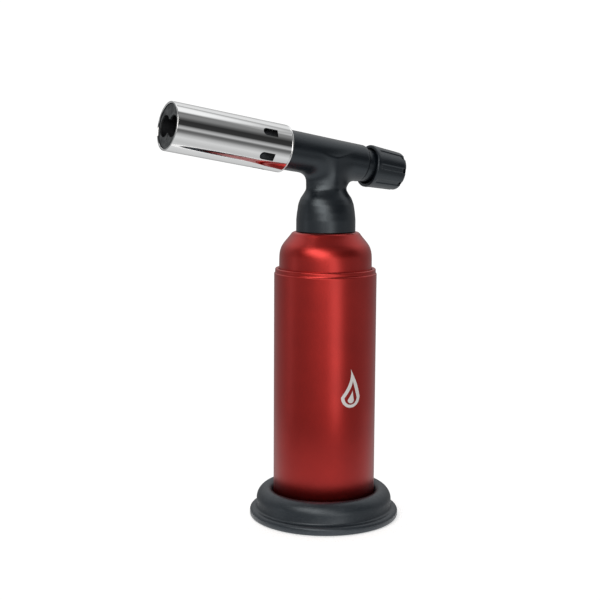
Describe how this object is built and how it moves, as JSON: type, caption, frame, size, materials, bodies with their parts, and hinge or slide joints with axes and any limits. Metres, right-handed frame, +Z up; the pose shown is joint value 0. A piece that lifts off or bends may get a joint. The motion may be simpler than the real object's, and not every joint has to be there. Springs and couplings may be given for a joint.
{
  "type": "refillable butane jet torch",
  "caption": "Refillable table-top gas torch with a red metal tank sleeve, rubber foot, black T-shaped head, chrome burner tube and a turn-and-push knob.",
  "frame": {"origin": "middle of the box's underside, on the surface that the foot stands on", "axes": "+Z up along the tank, burner pointing to -X and tilted 9.87 degrees upward, the printed side of the sleeve at -Y"},
  "size_m": [0.1262, 0.0738, 0.2023],
  "materials": {
    "red_aluminium": "deep red metallic anodised sheen, satin gloss",
    "red_sleeve": "deep red metallic finish, satin gloss, with a plain white printed mark",
    "black_plastic": "moulded glass-filled nylon, fine satin texture",
    "knob_plastic": "moulded nylon with grip grooves, satin",
    "foot_rubber": "moulded rubber, matte, slightly uneven",
    "seal_rubber": "black nitrile rubber",
    "chrome_tube": "polished chrome plating",
    "gunmetal": "pressed heat-resisting steel, darkened by heat",
    "heat_steel": "heat-resisting steel with brown and straw heat tint",
    "steel": "turned steel",
    "spring_steel": "drawn spring wire",
    "plate_steel": "zinc plated pressed steel",
    "brass": "turned brass, natural",
    "ceramic": "unglazed alumina",
    "lead_silicone": "silicone covered high voltage lead",
    "piezo_plastic": "moulded piezo cell case",
    "plunger_brass": "pressed brass hammer button",
    "acetal": "white acetal, low friction",
    "dip_plastic": "translucent extruded plastic",
    "cotton": "twisted cotton wick",
    "fibre": "red vulcanised fibre washer"
  },
  "bodies": {
    "torch_body": {"base_foot": "foot_rubber", "tank_sleeve": "red_sleeve", "fuel_tank": "red_aluminium", "tank_end_plate": "plate_steel", "fill_valve_body": "brass", "fill_valve_seal": "seal_rubber", "fill_valve_spring": "spring_steel", "dip_tube": "dip_plastic", "wick": "cotton", "tank_bushing": "brass", "neck_gasket": "fibre", "neck_nut": "brass", "valve_block": "brass", "gland_nut": "brass", "gland_o_ring": "seal_rubber", "gas_pipe": "brass", "gas_jet": "brass", "burner_collar": "steel", "burner_tube": "chrome_tube", "mixer_tube": "heat_steel", "flame_holder": "heat_steel", "nozzle_plate": "gunmetal", "electrode_insulator": "ceramic", "spark_electrode": "heat_steel", "spark_lead": "lead_silicone", "piezo_case": "piezo_plastic", "return_spring": "spring_steel", "head_shell_left": "black_plastic", "head_shell_right": "black_plastic", "head_screw_front": "steel", "head_screw_rear": "steel", "head_screw_barrel": "steel"},
    "igniter_slide": {"push_sleeve": "acetal", "piezo_plunger": "plunger_brass"},
    "knob": {"knob_cap": "knob_plastic", "knob_insert": "brass", "knob_retainer": "spring_steel"},
    "gas_spindle": {"valve_spindle": "steel", "valve_needle": "steel"},
    "fill_stem": {"fill_valve_stem": "brass"}
  },
  "joints": [
    {"name": "igniter_press", "type": "slide", "parent": "torch_body", "child": "igniter_slide", "axis": [-0.9852, 0, 0.1714], "range_m": [0, 0.0025], "stiffness_N_per_m": 2600, "springref_m": -0.002, "deforming": ["return_spring"]},
    {"name": "gas_knob_turn", "type": "hinge", "parent": "igniter_slide", "child": "knob", "pos_m": [0.05486, 0, 0.17097], "axis": [0.9852, 0, -0.1714], "range_deg": [0, 330]},
    {"name": "gas_spindle_turn", "type": "hinge", "parent": "torch_body", "child": "gas_spindle", "pos_m": [0.04106, 0, 0.17337], "axis": [0.9852, 0, -0.1714], "range_deg": [0, 330]},
    {"name": "fill_valve_press", "type": "slide", "parent": "torch_body", "child": "fill_stem", "axis": [0, 0, 1], "range_m": [0, 0.0015], "stiffness_N_per_m": 900, "springref_m": -0.001, "deforming": ["fill_valve_spring"]}
  ],
  "couplings": [
    {"joint": "gas_spindle_turn", "follows": "gas_knob_turn", "ratio": 1}
  ]
}
